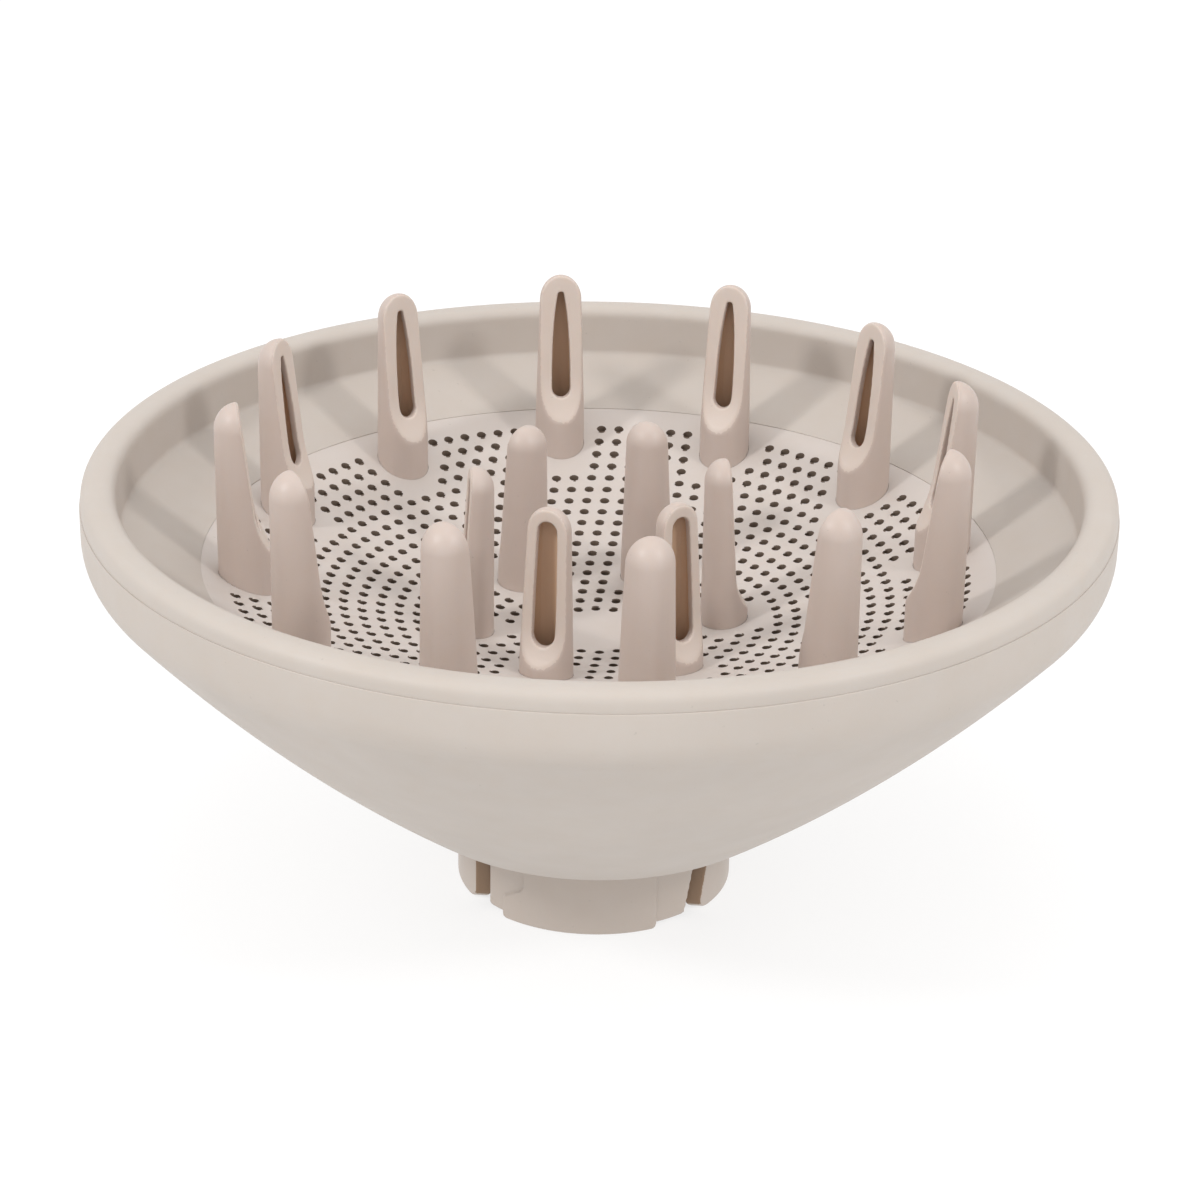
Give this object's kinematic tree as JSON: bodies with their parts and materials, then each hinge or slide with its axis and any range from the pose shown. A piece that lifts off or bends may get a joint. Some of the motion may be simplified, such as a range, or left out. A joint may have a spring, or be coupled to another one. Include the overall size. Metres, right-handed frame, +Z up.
{
  "type": "hair dryer diffuser",
  "caption": "Round bowl-shaped hair-dryer diffuser: perforated dished plate with hollow slotted prongs, conical rear housing, and a short collar with spring tabs for the nozzle.",
  "frame": {"origin": "middle of the base, on the surface that the collar stands on, on the axis of the bowl", "axes": "+Z up along the axis of the bowl, towards its mouth; -Y is the front, within 3.2 degrees of the middle of a collar foot"},
  "size_m": [0.166, 0.166, 0.086],
  "materials": {
    "shell_plastic": "satin warm beige moulded plastic",
    "plate_plastic": "satin pale beige moulded plastic",
    "prong_plastic": "satin warm beige plastic that lets a little light through",
    "collar_plastic": "satin warm beige moulded plastic"
  },
  "bodies": {
    "diffuser": {"rear_cone": "shell_plastic", "front_bowl": "shell_plastic", "perforated_plate": "plate_plastic", "outer_prong_01": "prong_plastic", "outer_prong_02": "prong_plastic", "outer_prong_03": "prong_plastic", "outer_prong_04": "prong_plastic", "outer_prong_05": "prong_plastic", "outer_prong_06": "prong_plastic", "outer_prong_07": "prong_plastic", "outer_prong_08": "prong_plastic", "outer_prong_09": "prong_plastic", "outer_prong_10": "prong_plastic", "outer_prong_11": "prong_plastic", "outer_prong_12": "prong_plastic", "inner_prong_01": "prong_plastic", "inner_prong_02": "prong_plastic", "inner_prong_03": "prong_plastic", "inner_prong_04": "prong_plastic", "inner_prong_05": "prong_plastic", "inner_prong_06": "prong_plastic", "dryer_collar": "collar_plastic", "air_deflector": "shell_plastic"},
    "right_tab": {"clip_tab_right": "collar_plastic"},
    "left_tab": {"clip_tab_left": "collar_plastic"}
  },
  "joints": [
    {"name": "right_tab_flex", "type": "hinge", "parent": "diffuser", "child": "right_tab", "pos_m": [0.02167, 0.00121, 0.0114], "axis": [0.0558, -0.9984, 0], "range_deg": [0, 3.5], "stiffness_Nm_per_rad": 1.2},
    {"name": "left_tab_flex", "type": "hinge", "parent": "diffuser", "child": "left_tab", "pos_m": [-0.02167, -0.00121, 0.0114], "axis": [-0.0558, 0.9984, 0], "range_deg": [0, 3.5], "stiffness_Nm_per_rad": 1.2}
  ]
}
